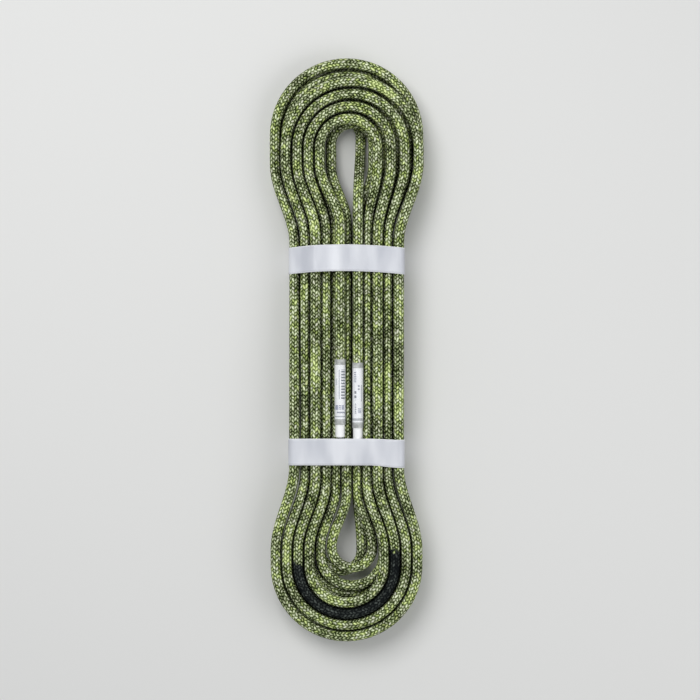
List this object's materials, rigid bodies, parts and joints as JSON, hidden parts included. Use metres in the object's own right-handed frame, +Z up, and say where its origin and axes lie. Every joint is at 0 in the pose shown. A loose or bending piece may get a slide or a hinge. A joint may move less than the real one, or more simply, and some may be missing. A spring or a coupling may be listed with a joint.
{
  "type": "dynamic climbing rope hank",
  "caption": "Flat hank of a 9.5 mm kernmantle climbing rope, wound in long loops, held at the waist by two film bands, both marked ends on the front.",
  "frame": {"origin": "centre of the hank's outline on the surface it lies on", "axes": "+Z up out of the hank's front, +Y along the hank towards its upper end, +X across it to the right"},
  "size_m": [0.1424, 0.5364, 0.0466],
  "materials": {
    "sheath": "matte",
    "core": "matte",
    "fused_nylon": "satin",
    "label_film": "satin",
    "clear_sleeve": "gloss",
    "band_film": "satin"
  },
  "bodies": {
    "root": {"rope_winding": "sheath", "left_end_sheath": "sheath", "right_end_sheath": "sheath", "left_end_core": "core", "right_end_core": "core", "left_fused_tip": "fused_nylon", "right_fused_tip": "fused_nylon", "left_end_label": "label_film", "right_end_label": "label_film", "left_shrink_sleeve": "clear_sleeve", "right_shrink_sleeve": "clear_sleeve", "upper_band": "band_film", "lower_band": "band_film"}
  },
  "joints": []
}
